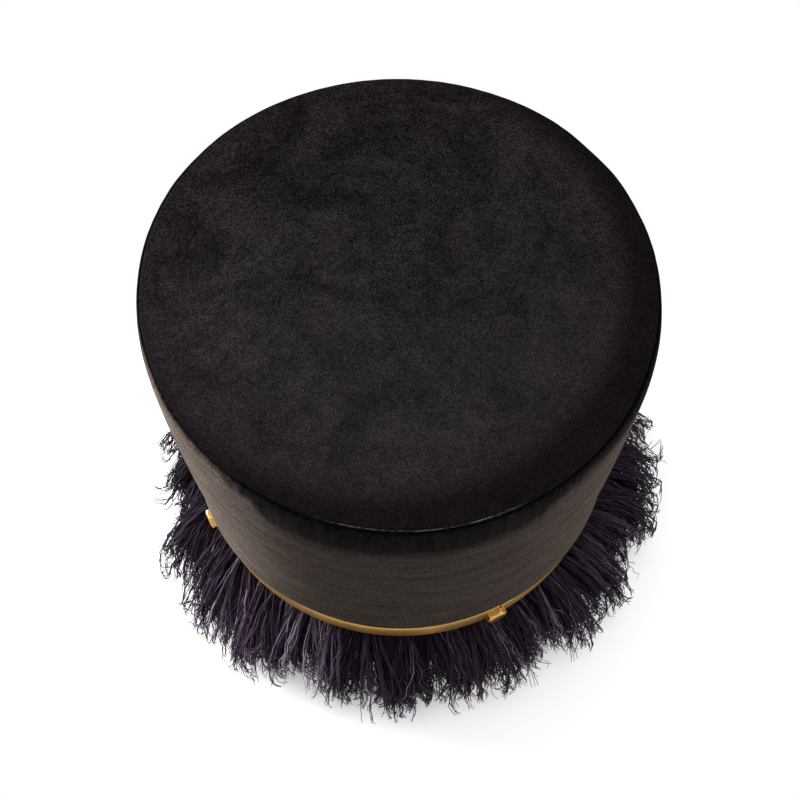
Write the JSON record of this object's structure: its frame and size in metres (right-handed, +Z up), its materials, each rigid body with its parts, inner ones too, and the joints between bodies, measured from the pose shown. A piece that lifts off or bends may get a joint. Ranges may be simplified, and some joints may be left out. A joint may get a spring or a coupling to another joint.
{
  "type": "pouf",
  "caption": "Round upholstered pouf: a crowned velvet seat on a fibreboard drum, a bolted brass band round its foot and a long feather fringe below it",
  "frame": {"origin": "on the floor, at the middle of the drum, between the four glides", "axes": "+Z up, the front towards -Y, +X to the right as seen from the front"},
  "size_m": [0.52, 0.52, 0.4241],
  "materials": {
    "velvet": "matte",
    "foam": "matte",
    "plywood": "matte",
    "fibreboard": "matte",
    "softwood": "matte",
    "brass": "satin",
    "steel": "satin",
    "feather": "satin",
    "lining": "matte",
    "plastic": "satin"
  },
  "bodies": {
    "root": {"base_board": "plywood", "base_screw_1": "steel", "base_screw_2": "steel", "base_screw_3": "steel", "base_screw_4": "steel", "cover_side_panel": "velvet", "cover_top_panel": "velvet", "drum_wall": "fibreboard", "dust_cloth": "lining", "fringe_01": "feather", "fringe_02": "feather", "fringe_03": "feather", "fringe_04": "feather", "fringe_05": "feather", "fringe_06": "feather", "fringe_07": "feather", "fringe_08": "feather", "fringe_09": "feather", "fringe_10": "feather", "fringe_11": "feather", "fringe_12": "feather", "glide_1": "plastic", "glide_2": "plastic", "glide_3": "plastic", "glide_4": "plastic", "rim_band": "brass", "seat_board": "plywood", "seat_foam": "foam", "seat_screw_1": "steel", "seat_screw_2": "steel", "seat_screw_3": "steel", "seat_screw_4": "steel", "side_foam": "foam", "stud_bolt_1": "brass", "stud_bolt_2": "brass", "stud_bolt_3": "brass", "stud_bolt_4": "brass", "stud_nut_1": "steel", "stud_nut_2": "steel", "stud_nut_3": "steel", "stud_nut_4": "steel", "stud_washer_1": "steel", "stud_washer_2": "steel", "stud_washer_3": "steel", "stud_washer_4": "steel", "upright_1": "softwood", "upright_2": "softwood", "upright_3": "softwood", "upright_4": "softwood"}
  },
  "joints": []
}
